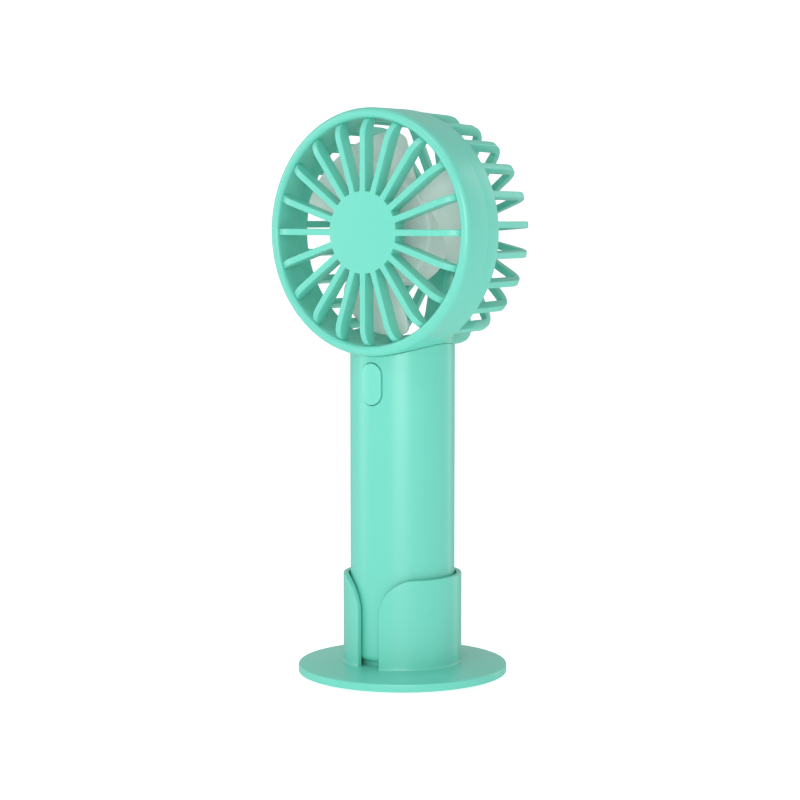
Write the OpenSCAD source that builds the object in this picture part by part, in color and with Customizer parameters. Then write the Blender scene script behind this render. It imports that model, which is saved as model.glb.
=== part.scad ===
// Hand-held battery fan with a caged head, standing in its cup-shaped stand.
// Millimetres. +Z is up, the air leaves towards -Y, and the origin is the
// centre of the stand's underside. The fan is drawn standing in its stand.

/* [Stand] */
// Radius of the base plate
base_r = 41.7; // [38:0.1:46]
// Thickness of the base plate at its edge
base_t = 3.1; // [2.6:0.1:3.6]
// Rise of the base plate from its edge to the cup
base_rise = 1.3; // [0.4:0.1:2]
// Rounding of the base plate's edges
base_round = 0.5; // [0.3:0.1:0.9]
// Height that the foot pad stands proud of the plate
foot_proud = 0.3; // [0.2:0.1:0.6]
// Height of the cup above the plate
cup_h = 35.5; // [30:0.5:42]
// Wall thickness of the cup
cup_wall = 2.1; // [1.5:0.1:2.4]
// Gap between the handle and the cup
cup_gap = 0.75; // [0.4:0.05:1]
// Width of the slot in the front of the cup
slot_w = 10.1; // [6:0.1:12]
// Radius of the flare at the top of the slot
slot_flare = 14.8; // [8:0.2:16]

/* [Handle] */
// Outer radius of the handle
handle_r = 20.8; // [20.5:0.1:21.5]
// Wall thickness of the handle
handle_wall = 1.8; // [1.6:0.1:2]
// Rounding of the handle's lower edge
handle_round = 2.8; // [1:0.1:3]

/* [Button] */
// Width of the speed button
button_w = 9.2; // [7:0.2:10]
// Height of the speed button
button_h = 16.4; // [12:0.2:18]
// Height of the button's centre above the table
button_z = 116.7; // [113:0.1:117]
// Height that the button stands proud of the handle
button_proud = 0.7; // [0.5:0.1:1]
// Gap all round the button
button_gap = 0.25; // [0.2:0.05:0.4]

/* [Head] */
// Outer radius of the head
head_r = 48; // [47:0.5:50]
// Height of the head's centre above the table
head_z = 175.7; // [175:0.5:178]
// Radial width of the front lip
lip_w = 4.1; // [3.6:0.1:4.4]
// Radius of the centre disc
disc_r = 15.9; // [14:0.1:18]
// Number of spokes in the front cover
spokes = 20; // [12:2:24]
// Width of one spoke
spoke_w = 2.5; // [2:0.1:3]
// Depth of one spoke, front to back
spoke_d = 6; // [4:0.1:7]
// Number of ribs in the rear cover
ribs = 25; // [15:2:27]
// Width of one rib
rib_w = 2.6; // [2:0.1:3]
// Depth of one rib
rib_d = 4; // [3:0.1:4.5]

/* [Impeller] */
// Number of blades
blades = 3; // [3:1:4]
// Radius of the blade tips
tip_r = 40.5; // [36:0.5:41.5]
// Pitch of the blades
blade_pitch = 17; // [8:1:19]
// Angle that one blade takes up round the axis
blade_arc = 74; // [50:2:76]
// Angle at which the first blade rests, seen from the front
rest_angle = 130; // [0:1:360]

/* [Hidden] */
$fn = 96;
eps = 0.01;

// Heights along the stand and the handle
foot_r = 38;
foot_gap = 0.1;
foot_recess = 0.7;
edge_z = foot_proud + base_t;
plate_z = edge_z + base_rise;
rest_h = 1.75;                        // raised ring on which the fan stands
rest_gap = 0.05;
fan_z = plate_z + rest_h + rest_gap;  // underside of the fan
cup_r = handle_r + cup_gap + cup_wall;
cup_top = plate_z + cup_h;
bore_r = handle_r - handle_wall;
floor_t = 2.2;                        // floor of the handle, round the battery door
door_r = 14.5;
door_lug_r = 16.6;
door_lug_w = 7;
door_lug_h = 1.6;
door_gap = 0.1;

// Head: stations along Y, front to back
lip_y = -24.5;
disc_y = -26.6;
seam_y = -11;
inner_seam_y = -12;
ring_back_y = -3.2;
ring_inner_back_y = -5.3;
ring_in_r = head_r - lip_w;
corner_r = 11;                        // rounding of the cage's back corner
corner_cr = 36.3;                     // centre of that rounding, radially
corner_cy = 15;                     // centre of that rounding, along Y
back_slope = 14;                      // how far the cage's back leans, in degrees
hub_r = 14.4;
hub_in_r = 12.4;
hub_front_y = 6;
hub_back_y = 31.6;
hub_floor = 2;
saddle_gap = 0.05;                    // between the head and the handle's hollowed top
neck_screw_x = 16.4;
neck_screw_y = 4;
boss_r = 3.2;

// Motor and shaft
motor_r = 12.2;
motor_front_y = 7;
motor_back_y = 23.4;
motor_screw_x = 8;
can_wall = 1;
shaft_r = 1;
bush_r = 3;
running_gap = 0.03;

// Board and carrier, behind the button
board_y = 5;
board_t = 1.2;
board_w = 22;
board_h = 36;
board_z = 103;
socket_z = 96;
socket_w = 8.9;
socket_t = 3.2;
light_z = socket_z + 9;
light_r = 1.5;
screw_z = [88.5, 118];
switch_front = board_y - 3.8;
switch_w = 6;
switch_z = button_z - 4;
plunger_r = 1.7;
plunger_tip = switch_front - 5;

// Battery: the cell stands between the spring on the door and the contact plate
door_h = 4.6;
spring_h = 3;
cell_r = 9.2;
cell_z = fan_z + door_h + spring_h;
cell_h = 65;
cell_nub = 1.4;
contact_t = 0.5;
carrier_in = cell_r + 0.4;
carrier_out = 11.4;
carrier_top = 122;

// Leads from the board to the motor
lead_r = 0.55;
lead_x = 0.8;
lead_y = 9;
lead_hole_r = 1.9;
terminal_x = 2.6;
spine_w = 8;
spine_d = 6.5;
lead_d = 4.1;                         // depth of the leads inside the spine's outer face
lead_turn = corner_r - lead_d;
pilot_r = 0.98;                       // holes for the screws of the neck and the motor
neck_head_z = head_z - sqrt(ring_in_r * ring_in_r - neck_screw_x * neck_screw_x) - 1.6;
neck_screw_len = 11;

// Impeller
hub_front = -11.5;
hub_back = 3.5;
impeller_hub_r = 21.2;
blade_t = 1.4;
blade_mid_y = -4;
shaft_front = -10;

// Turns a piece drawn along +Z so that its +Z runs along +Y through the head's centre
module head_axis() {
    translate([0, 0, head_z])
        rotate([-90, 0, 0])
            children();
}

// A ring along the head's axis, from y0 to y1
module head_ring(r_out, r_in, y0, y1) {
    head_axis()
        translate([0, 0, y0])
            difference() {
                cylinder(r = r_out, h = y1 - y0);
                translate([0, 0, -1])
                    cylinder(r = r_in, h = y1 - y0 + 2);
            }
}

// A disc along the head's axis, from y0 to y1
module head_disc(r, y0, y1) {
    head_axis()
        translate([0, 0, y0])
            cylinder(r = r, h = y1 - y0);
}

// A rod along Y through a point
module rod_y(r, x, z, y0, y1) {
    translate([x, y0, z])
        rotate([-90, 0, 0])
            cylinder(r = r, h = y1 - y0);
}

// The pill outline, w wide and h tall, upright or lying
module pill(w, h) {
    r = min(w, h) / 2;
    for (s = [-1, 1])
        translate([s * (w / 2 - r), s * (h / 2 - r)])
            circle(r = r);
    square([w > h ? w - h : w, w > h ? h : h - w], center = true);
}

// A pill carried along Y, centred at height z
module pill_y(w, h, z, y0, y1) {
    translate([0, y1, z])
        rotate([90, 0, 0])
            linear_extrude(height = y1 - y0)
                pill(w, h);
}

// Half width of the slot at its flare, s along the cup's face
function slot_x(s) = cup_r * sin((asin(slot_w / 2 / cup_r) * PI / 180 * cup_r + s) / cup_r * 180 / PI);

// The slot's outline: straight sides that flare out in quarter rounds to the rim
module slot_outline() {
    top = cup_top + 1;
    side = [for (a = [0:7.5:90]) [slot_x(slot_flare * (1 - cos(a))), cup_top - slot_flare * (1 - sin(a))]];
    last = len(side) - 1;
    polygon(concat(
        [[-slot_w / 2, plate_z], [slot_w / 2, plate_z]],
        side,
        [[side[last][0], top], [-side[last][0], top]],
        [for (i = [last:-1:0]) [-side[i][0], side[i][1]]]
    ));
}

// A disc with rounded rims, drawn from z0 to z1
module round_disc(r, z0, z1, rnd) {
    rotate_extrude() {
        square_h = z1 - z0 - 2 * rnd;
        translate([0, z0])
            square([r - rnd, z1 - z0]);
        translate([r - rnd - eps, z0 + rnd])
            square([rnd + eps, square_h]);
        for (z = [z0 + rnd, z1 - rnd])
            translate([r - rnd, z])
                circle(r = rnd, $fn = 48);
    }
}

module stand_base() {
    rest_out = 18;
    rest_in = 14;
    color("aquamarine")
        difference() {
            union() {
                round_disc(base_r, foot_proud, edge_z, base_round);
                rotate_extrude()
                    polygon([
                        [0, edge_z - base_round], [base_r - base_round, edge_z - base_round],
                        [base_r - base_round, edge_z], [cup_r - 0.5, plate_z], [0, plate_z]
                    ]);
                difference() {
                    translate([0, 0, plate_z - eps])
                        cylinder(r = cup_r, h = cup_h + eps);
                    translate([0, 0, plate_z])
                        cylinder(r = handle_r + cup_gap, h = cup_h + 1);
                    translate([0, -handle_r / 2, 0])
                        rotate([90, 0, 0])
                            linear_extrude(height = handle_r)
                                slot_outline();
                }
                difference() {
                    translate([0, 0, plate_z - eps])
                        cylinder(r = rest_out, h = rest_h + eps);
                    translate([0, 0, plate_z])
                        cylinder(r = rest_in, h = rest_h + 1);
                }
            }
            translate([0, 0, foot_proud - 1])
                cylinder(r = foot_r, h = 1 + foot_recess);
        }
}

module foot_pad() {
    color("dimgray")
        cylinder(r = foot_r - foot_gap, h = foot_proud + foot_recess);
}

module handle_shell() {
    boss_h = 16;
    color("aquamarine")
        difference() {
            union() {
                difference() {
                    union() {
                        translate([0, 0, fan_z])
                            rotate_extrude() {
                                square([handle_r - handle_round, handle_round]);
                                translate([handle_r - handle_round, handle_round])
                                    circle(r = handle_round, $fn = 64);
                            }
                        translate([0, 0, fan_z + handle_round])
                            cylinder(r = handle_r, h = head_z - fan_z - handle_round);
                    }
                    translate([0, 0, fan_z + floor_t])
                        cylinder(r = bore_r, h = head_z);
                }
                for (x = [-1, 1])
                    translate([x * neck_screw_x, neck_screw_y, head_z - head_r - boss_h / 2])
                        cylinder(r = boss_r, h = boss_h);
            }
            head_disc(head_r + saddle_gap, -2 * handle_r, 2 * handle_r);
            translate([0, 0, fan_z - 1]) {
                cylinder(r = door_r, h = floor_t + 2);
                rotate(90)
                    door_lugs(door_lug_r + 2 * door_gap, door_lug_w + 4 * door_gap, floor_t + 2);
            }
            for (x = [-1, 1])
                translate([x * neck_screw_x, neck_screw_y, head_z - head_r - boss_h])
                    cylinder(r = pilot_r, h = 2 * boss_h);
            pill_y(
                button_w + 2 * button_gap, button_h + 2 * button_gap, button_z,
                -handle_r - 1, -handle_r / 2
            );
            pill_y(socket_w + 0.8, socket_t + 0.8, socket_z, handle_r / 2, handle_r + 1);
            rod_y(light_r + 0.1, 0, light_z, handle_r / 2, handle_r + 1);
        }
}

// Bayonet lugs of the battery door, or the notches that they pass through
module door_lugs(r, w, h) {
    intersection() {
        cylinder(r = r, h = h);
        translate([-r, -w / 2, -1])
            cube([2 * r, w, h + 2]);
    }
}

// Door in the handle's floor, turned with a coin
module battery_door() {
    coin_depth = 1.2;
    coin_len = 16;
    coin_t = 2;
    color("aquamarine")
        difference() {
            union() {
                translate([0, 0, fan_z + door_gap])
                    cylinder(r = door_r - door_gap, h = door_h - door_gap);
                translate([0, 0, fan_z + floor_t + door_gap])
                    door_lugs(door_lug_r, door_lug_w, door_lug_h);
            }
            translate([-coin_len / 2, -coin_t / 2, fan_z - 1])
                cube([coin_len, coin_t, coin_depth + door_gap + 1]);
        }
}

module carrier() {
    flange_t = 1.6;
    plate_y = board_y + board_t + 3.2;
    plate_t = 1.6;
    plate_w = 24;
    top_z = cell_z + cell_h + cell_nub + contact_t;
    low_z = fan_z + door_h + 0.4;
    color("gainsboro")
        difference() {
            union() {
                // rear half of a tube round the cell, closed at the top
                difference() {
                    translate([0, 0, low_z])
                        cylinder(r = carrier_out, h = top_z + 2 - low_z);
                    translate([0, 0, low_z - 1])
                        cylinder(r = carrier_in, h = top_z + 1 - low_z);
                    translate([-handle_r, -2 * handle_r, low_z - 1])
                        cube([2 * handle_r, 2 * handle_r, top_z + 1 - low_z]);
                }
                // centring flanges that reach the handle's bore
                for (z = [low_z, (low_z + top_z) / 2, top_z])
                    translate([0, 0, z])
                        difference() {
                            cylinder(r = bore_r - 0.1, h = flange_t);
                            translate([0, 0, -1])
                                cylinder(r = carrier_in, h = flange_t + 2);
                            translate([-handle_r, -2 * handle_r, -1])
                                cube([2 * handle_r, 2 * handle_r - 3, flange_t + 2]);
                        }
                // back plate and bosses for the circuit board
                translate([-plate_w / 2, plate_y, top_z])
                    cube([plate_w, plate_t, carrier_top - top_z]);
                for (z = screw_z)
                    rod_y(2.4, 0, z, board_y + board_t, plate_y + eps);
            }
            for (z = screw_z)
                rod_y(0.75, 0, z, board_y, plate_y + plate_t + 1);
            pill_y(socket_w + 1.6, socket_t + 1.6, socket_z, plate_y - 1, plate_y + plate_t + 1);
            rod_y(light_r + 0.5, 0, light_z, plate_y - 1, plate_y + plate_t + 1);
        }
}

module battery_cell() {
    color("cornflowerblue")
        union() {
            round_disc(cell_r, cell_z, cell_z + cell_h, 0.6);
            translate([0, 0, cell_z + cell_h - eps])
                cylinder(r = 3, h = cell_nub + eps);
        }
}

// A conical spring: coils that close in from the door to the cell
module contact_spring() {
    wire = 0.35;
    coils = 5;
    low_r = 5.4;
    step = 0.33;
    pitch = (spring_h - 2 * wire) / (coils - 1);
    color("silver")
        translate([0, 0, cell_z - spring_h + wire])
            rotate_extrude()
                for (i = [0:coils - 1])
                    translate([low_r - i * step, i * pitch])
                        circle(r = wire, $fn = 24);
}

module contact_plate() {
    plate = 8;
    color("silver")
        translate([-plate / 2, -plate / 2, cell_z + cell_h + cell_nub])
            cube([plate, plate, contact_t]);
}

module circuit_board() {
    color("darkgreen")
        difference() {
            translate([-board_w / 2, board_y, board_z - board_h / 2])
                cube([board_w, board_t, board_h]);
            for (z = screw_z)
                rod_y(1.1, 0, z, board_y - 1, board_y + board_t + 1);
        }
}

module board_screws() {
    color("silver")
        for (z = screw_z) {
            rod_y(1.9, 0, z, board_y - 1.1, board_y);
            rod_y(0.72, 0, z, board_y - eps, board_y + board_t + 4);
        }
}

// Metal mouth of the charging socket, opening towards the back, with its tongue
module charge_socket() {
    wall = 0.35;
    depth = 6.5;
    tongue_w = 6.6;
    tongue_t = 0.7;
    back = handle_r - 0.9;
    color("silver")
        union() {
            difference() {
                pill_y(socket_w, socket_t, socket_z, board_y + board_t, back);
                pill_y(socket_w - 2 * wall, socket_t - 2 * wall, socket_z, back - depth, back + 1);
            }
            translate([-tongue_w / 2, back - depth - eps, socket_z - tongue_t / 2])
                cube([tongue_w, depth - 1, tongue_t]);
        }
}

// Light guide beside the socket, which shows the charge through the shell
module charge_light() {
    color("white")
        rod_y(light_r, 0, light_z, board_y + board_t, handle_r - 0.1);
}

module tact_switch() {
    color("dimgray")
        difference() {
            translate([-switch_w / 2, switch_front, switch_z - switch_w / 2])
                cube([switch_w, board_y - switch_front, switch_w]);
            rod_y(plunger_r + 0.1, 0, switch_z, switch_front - 1, switch_front + 1.6);
        }
}

module switch_plunger() {
    color("ivory")
        rod_y(plunger_r, 0, switch_z, plunger_tip, switch_front + 0.9);
}

module speed_button() {
    flange_gap = 0.15;
    flange_t = 1.2;
    flange_over = 1.4;
    flange_r = bore_r - flange_gap;
    top_r = handle_r + button_proud;
    color("aquamarine")
        union() {
            // the visible pill, curved with the handle
            intersection() {
                pill_y(button_w, button_h, button_z, -top_r - 1, -flange_r + flange_t);
                cylinder(r = top_r, h = head_z);
            }
            // flange that holds it behind the wall
            intersection() {
                pill_y(
                    button_w + 2 * flange_over, button_h + 2 * flange_over, button_z,
                    -top_r, -flange_r + 3 * flange_t
                );
                difference() {
                    cylinder(r = flange_r, h = head_z);
                    translate([0, 0, -1])
                        cylinder(r = flange_r - flange_t, h = head_z + 2);
                }
            }
            rod_y(2.2, 0, switch_z, -flange_r + flange_t / 2, plunger_tip);
        }
}

// One spoke, along +X from the disc to the ring; its outer end curves back to the ring's wall
module spoke() {
    bend = 7.7;
    drop = 6;
    x1 = ring_in_r + 1;
    x_bend = ring_in_r + 0.4 - bend;
    y_front = disc_y;
    y_back = disc_y + spoke_d;
    translate([0, 0, -spoke_w / 2])
        linear_extrude(height = spoke_w)
            polygon(concat(
                [[disc_r - 1.1, y_front + 0.1], [disc_r - 0.5, y_front]],
                [for (a = [0:9:81]) [x_bend + bend * sin(a), y_front + drop * (1 - cos(a))]],
                [[x1, y_front + drop], [x1, y_back + drop * 0.45]],
                [for (a = [60:-12:0]) [x_bend + bend * sin(a), y_back + 0.8 * drop * (1 - cos(a))]],
                [[disc_r - 1.1, y_back]]
            ));
}

module front_cover() {
    face_t = 1.8;
    face_round = 0.6;
    lip_round = 2;
    groove_w = 1.5;
    color("aquamarine")
        union() {
            difference() {
                head_axis()
                    rotate_extrude()
                        union() {
                            translate([ring_in_r, lip_y + lip_round])
                                square([lip_w, inner_seam_y - lip_y - lip_round]);
                            translate([ring_in_r + lip_round, lip_y])
                                square([lip_w - 2 * lip_round, 2 * lip_round]);
                            for (r = [ring_in_r + lip_round, head_r - lip_round])
                                translate([r, lip_y + lip_round])
                                    circle(r = lip_round, $fn = 64);
                            translate([head_r - 1.2, inner_seam_y - eps])
                                square([1.2, seam_y - inner_seam_y]);
                        }
                head_ring(ring_in_r + 1.3 + groove_w, ring_in_r + 1.3, inner_seam_y - 5, inner_seam_y + 1);
            }
            difference() {
                head_axis()
                    rotate_extrude()
                        union() {
                            translate([0, disc_y])
                                square([disc_r - face_round, spoke_d + 0.2]);
                            translate([0, disc_y + face_round])
                                square([disc_r, spoke_d + 0.2 - face_round]);
                            translate([disc_r - face_round, disc_y + face_round])
                                circle(r = face_round, $fn = 32);
                        }
                head_disc(disc_r - face_t, disc_y + face_t, disc_y + spoke_d + 2);
            }
            translate([0, 0, head_z])
                for (i = [0:spokes - 1])
                    rotate([0, 360 / spokes * i, 0])
                        spoke();
        }
}

// Outline of one rib in the (radius, Y) plane: straight back from the ring,
// round the corner, then leaning in to the hub
function arc_pts(r, a0, a1, n) = [
    for (i = [0:n])
        let (a = a0 + (a1 - a0) * i / n)
            [corner_cr + r * cos(a), corner_cy + r * sin(a)]
];
function lean_y(r, d) =
    corner_cy + d * cos(back_slope) + (corner_cr + d * sin(back_slope) - r) * tan(back_slope);

module rib() {
    steps = 6;
    r_hub = hub_r - 1;
    inner = corner_r - rib_d;
    translate([0, 0, -rib_w / 2])
        linear_extrude(height = rib_w)
            polygon(concat(
                [[head_r - rib_d, ring_back_y - 1.5], [head_r - 0.15, ring_back_y - 1.5]],
                arc_pts(corner_r, 0, 90 - back_slope, steps),
                [[r_hub, lean_y(r_hub, corner_r)], [r_hub, lean_y(r_hub, inner)]],
                arc_pts(inner, 90 - back_slope, 0, 2)
            ));
}

// The wide rib under the hub: a bar from d0 to d1 inside the cage's outer face
module spine(w, d0, d1) {
    inner = corner_r - d1;
    outer = corner_r - d0;
    r_hub = hub_r - 1;
    translate([0, 0, -w / 2])
        linear_extrude(height = w)
            polygon([
                [corner_cr + inner, ring_back_y - 1.5], [corner_cr + outer, ring_back_y - 1.5],
                each arc_pts(outer, 0, 90 - back_slope, 6),
                [r_hub, lean_y(r_hub, outer)], [r_hub, lean_y(r_hub, inner)],
                each arc_pts(inner, 90 - back_slope, 0, 3)
            ]);
}

module rear_cover() {
    tongue_w = 1.2;
    groove_r = ring_in_r + 1.45;
    skirt_r = head_r - 1.25;
    snap = 4;
    inner_y = inner_seam_y + 0.08;
    outer_y = seam_y + 0.08;
    edge = 0.8;
    color("aquamarine")
        difference() {
            union() {
                // ring behind the seam, with the tongue that snaps into the front cover
                head_axis()
                    rotate_extrude()
                        polygon([
                            [ring_in_r, inner_y], [groove_r, inner_y],
                            [groove_r, inner_y - snap], [groove_r + tongue_w, inner_y - snap],
                            [groove_r + tongue_w, inner_y], [skirt_r, inner_y],
                            [skirt_r, outer_y], [head_r, outer_y],
                            [head_r, ring_back_y - edge], [head_r - edge, ring_back_y],
                            [head_r - 3 * edge, ring_back_y], [ring_in_r, ring_inner_back_y]
                        ]);
                translate([0, 0, head_z]) {
                    for (i = [0:ribs - 1])
                        rotate([0, -90 - 360 / ribs * i, 0])
                            rib();
                    rotate([0, 90, 0])
                        spine(spine_w, 0, spine_d);
                }
                // cup that holds the motor
                difference() {
                    head_axis()
                        rotate_extrude()
                            polygon([
                                [0, hub_front_y], [hub_r, hub_front_y], [hub_r, hub_back_y - 1.2],
                                [hub_r - 1.2, hub_back_y], [0, hub_back_y]
                            ]);
                    head_disc(hub_in_r, hub_front_y - 1, hub_back_y - hub_floor);
                }
                for (x = [-1, 1])
                    rod_y(2.3, x * motor_screw_x, head_z, motor_back_y, hub_back_y - hub_floor + eps);
                neck();
            }
            // way for the leads: from the handle, up the spine and into the motor cup
            translate([0, lead_y, head_z - head_r - 6])
                cylinder(r = lead_hole_r, h = 12.5);
            translate([0, 0, head_z])
                rotate([0, 90, 0])
                    spine(4 * lead_x, lead_d - 1, lead_d + 1);
            translate([-2 * lead_x, motor_back_y - 0.2, head_z - hub_r - 1])
                cube([4 * lead_x, hub_back_y - hub_floor - motor_back_y + 0.2, 4]);
            for (x = [-1, 1]) {
                rod_y(pilot_r, x * motor_screw_x, head_z, motor_back_y - 1, hub_back_y + 1);
                translate([x * neck_screw_x, neck_screw_y, neck_head_z - neck_screw_len])
                    cylinder(r = pilot_r, h = 2 * neck_screw_len);
                translate([x * neck_screw_x, neck_screw_y, neck_head_z])
                    cylinder(r = 2.2, h = neck_screw_len);
            }
        }
}

// Saddle that carries the ring's wall back over the handle, and the collar that enters its bore
module neck() {
    collar_t = 1.6;
    collar_h = 3.6;
    collar_front = -10.5;
    low = head_z - head_r - collar_h;
    tall = 16;
    intersection() {
        translate([0, 0, low])
            cylinder(r = handle_r, h = tall);
        head_ring(head_r, ring_in_r, ring_back_y - 2, handle_r);
    }
    difference() {
        translate([0, 0, low])
            cylinder(r = bore_r - 0.06, h = tall);
        translate([0, 0, low - 1])
            cylinder(r = bore_r - collar_t, h = tall + 2);
        head_disc(ring_in_r + 1, -2 * handle_r, 2 * handle_r);
        translate([-handle_r, -2 * handle_r, low - 1])
            cube([2 * handle_r, 2 * handle_r + collar_front, tall + 2]);
        for (x = [-1, 1])
            translate([x * neck_screw_x, neck_screw_y, low - 1])
                cylinder(r = boss_r + 0.2, h = tall);
    }
}

module neck_screws() {
    color("silver")
        for (x = [-1, 1])
            translate([x * neck_screw_x, neck_screw_y, neck_head_z]) {
                cylinder(r = 2, h = 1.3);
                translate([0, 0, -neck_screw_len])
                    cylinder(r = 0.95, h = neck_screw_len + eps);
            }
}

module motor_can() {
    color("silver")
        difference() {
            head_disc(motor_r, motor_front_y, motor_back_y);
            head_disc(motor_r - can_wall, motor_front_y + can_wall, motor_back_y + 1);
            head_disc(bush_r, motor_front_y - 1, motor_front_y + 3);
        }
}

module motor_end_cap() {
    cap_t = 2.4;
    color("white")
        difference() {
            head_disc(motor_r - can_wall - 0.02, motor_back_y - cap_t, motor_back_y);
            head_disc(bush_r, motor_back_y - cap_t - 1, motor_back_y + 1);
            for (x = [-1, 1])
                rod_y(0.95, x * motor_screw_x, head_z, motor_back_y - cap_t - 1, motor_back_y + 1);
        }
}

module motor_bushes() {
    color("goldenrod") {
        head_ring(bush_r, shaft_r + running_gap, motor_front_y - 1, motor_front_y + can_wall + 1);
        head_ring(bush_r, shaft_r + running_gap, motor_back_y - 3, motor_back_y);
    }
}

module motor_magnets() {
    mag_in = 9.2;
    gap_w = 5;
    color("dimgray")
        difference() {
            head_ring(motor_r - can_wall - 0.02, mag_in, motor_front_y + 3, motor_back_y - 5);
            translate([-gap_w / 2, motor_front_y, head_z - motor_r])
                cube([gap_w, 30, 2 * motor_r]);
        }
}

module motor_core() {
    core_r = 8.6;
    color("sienna")
        difference() {
            head_disc(core_r, motor_front_y + 4, motor_back_y - 6);
            head_disc(shaft_r, motor_front_y, motor_back_y);
            translate([0, 0, head_z])
                for (i = [0:2])
                    rotate([0, 90 + 120 * i, 0])
                        translate([5.4, motor_front_y, -0.9])
                            cube([6, 30, 1.8]);
        }
}

module motor_shaft() {
    color("lightgray")
        head_disc(shaft_r, shaft_front, motor_back_y - 0.3);
}

module motor_screws() {
    color("silver")
        for (x = [-1, 1]) {
            rod_y(2, x * motor_screw_x, head_z, hub_back_y, hub_back_y + 1.1);
            rod_y(0.93, x * motor_screw_x, head_z, motor_back_y - 1.8, hub_back_y + eps);
        }
}

module motor_terminals() {
    tab_w = 1.6;
    tab_t = 0.4;
    tab_h = 2.6;
    color("silver")
        for (x = [-1, 1])
            translate([x * terminal_x - tab_w / 2, motor_back_y, head_z - 8])
                cube([tab_w, tab_h, tab_t]);
}

// Points along one lead, from the board through the spine to its terminal
function lead_route(s) = [
    [4 * s, 4.4, 116], [4 * s, 4.4, 119.5], [2.4 * s, 4.6, 121.7], [s * lead_x, 5.8, 123.4],
    [s * lead_x, 7.8, 125.2], [s * lead_x, lead_y, 127.2], [s * lead_x, lead_y, 130.6],
    [s * lead_x, 9.6, 131.9], [s * lead_x, 11, 132.5], [s * lead_x, corner_cy, 132.5],
    for (a = [25:25:75])
        [s * lead_x, corner_cy + lead_turn * sin(a), head_z - corner_cr - lead_turn * cos(a)],
    for (r = [34, 26, 20, 14]) [s * lead_x, lean_y(r, lead_turn), head_z - r],
    [1.2 * s, 25.3, 164], [terminal_x * s, 25.3, 166], [terminal_x * s, 25.2, 167],
    [terminal_x * s, 25.2, 167.68]
];

// A round wire swept along a route that runs in the Y-Z plane, or near it
module wire(route, r) {
    sides = 8;
    rings = len(route);
    last = rings - 1;
    way = [for (i = [0:last])
        let (d = route[min(i + 1, last)] - route[max(i - 1, 0)])
            d / norm(d)];
    points = [for (i = [0:last], k = [0:sides - 1])
        let (side = cross(way[i], cross([1, 0, 0], way[i])))
        let (across = side / norm(side), up = cross(way[i], across), a = 360 * k / sides)
            route[i] + r * (cos(a) * across + sin(a) * up)];
    faces = concat(
        [[for (k = [sides - 1:-1:0]) k]],
        [for (i = [0:last - 1], k = [0:sides - 1])
            let (j = (k + 1) % sides)
                [i * sides + k, i * sides + j, (i + 1) * sides + j, (i + 1) * sides + k]],
        [[for (k = [0:sides - 1]) last * sides + k]]
    );
    polyhedron(points = points, faces = faces);
}

module motor_leads() {
    color("crimson")
        for (s = [-1, 1])
            wire(lead_route(s), lead_r);
}

// One blade: a pitched plate, cut to a sector that leans back towards the hub
module blade() {
    half = blade_arc / 2;
    reach = tip_r + 2;
    lead_root = 33;
    trail_root = -46;
    function at(r, a) = [r * cos(a), r * sin(a)];
    intersection() {
        rotate([blade_pitch, 0, 0])
            translate([-reach / 2, -blade_t / 2, -reach])
                cube([1.5 * reach, blade_t, 2 * reach]);
        rotate([90, 0, 0])
            translate([0, 0, -20])
                linear_extrude(height = 40)
                    polygon([
                        [0, 0], at(impeller_hub_r, trail_root),
                        at(0.65 * tip_r, -half - 6), at(0.8 * tip_r, -half - 3),
                        for (i = [0:12]) at(tip_r, -half + (blade_arc + 3) * i / 12),
                        at(impeller_hub_r, lead_root)
                    ]);
    }
}

module impeller() {
    color("honeydew")
        difference() {
            union() {
                head_axis()
                    rotate_extrude()
                        polygon([
                            [0, hub_front], [impeller_hub_r - 1.5, hub_front],
                            [impeller_hub_r, hub_front + 1.5], [impeller_hub_r, hub_back],
                            [impeller_hub_r - 1.6, hub_back], [impeller_hub_r - 1.6, hub_front + 2],
                            [4, hub_front + 2], [4, hub_back], [0, hub_back]
                        ]);
                translate([0, blade_mid_y, head_z])
                    for (i = [0:blades - 1])
                        rotate([0, -rest_angle - 360 / blades * i, 0])
                            difference() {
                                blade();
                                rotate([90, 0, 0])
                                    translate([0, 0, -30])
                                        cylinder(r = impeller_hub_r - 1, h = 60);
                            }
            }
            head_disc(shaft_r, shaft_front, hub_back + 1);
        }
}

stand_base();
foot_pad();
handle_shell();
battery_door();
carrier();
battery_cell();
contact_spring();
contact_plate();
circuit_board();
board_screws();
charge_socket();
charge_light();
tact_switch();
switch_plunger();
speed_button();
front_cover();
rear_cover();
neck_screws();
motor_can();
motor_end_cap();
motor_bushes();
motor_magnets();
motor_core();
motor_shaft();
motor_screws();
motor_terminals();
motor_leads();
impeller();
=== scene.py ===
from math import radians

import bpy
import numpy as np
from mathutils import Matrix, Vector


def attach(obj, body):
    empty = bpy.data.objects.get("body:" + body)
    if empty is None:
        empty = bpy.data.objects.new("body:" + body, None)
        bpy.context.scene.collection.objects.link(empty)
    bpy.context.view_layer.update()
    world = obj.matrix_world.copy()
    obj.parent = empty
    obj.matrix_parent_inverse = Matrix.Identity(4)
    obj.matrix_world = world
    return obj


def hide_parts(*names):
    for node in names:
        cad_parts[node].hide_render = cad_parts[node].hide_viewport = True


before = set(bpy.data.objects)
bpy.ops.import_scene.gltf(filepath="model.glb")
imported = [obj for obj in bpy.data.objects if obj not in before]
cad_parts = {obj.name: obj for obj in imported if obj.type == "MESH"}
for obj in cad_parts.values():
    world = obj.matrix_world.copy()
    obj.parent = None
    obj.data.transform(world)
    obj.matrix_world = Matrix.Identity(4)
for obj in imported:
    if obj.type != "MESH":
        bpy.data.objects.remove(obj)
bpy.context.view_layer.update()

# every length below is in millimetres and becomes metres where a mesh is made
mm = 0.001
headZ = 175.7       # height of the head's axis above the table
mergeDistance = 2e-7    # metres; points of one piece that are closer than this become one
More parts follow.
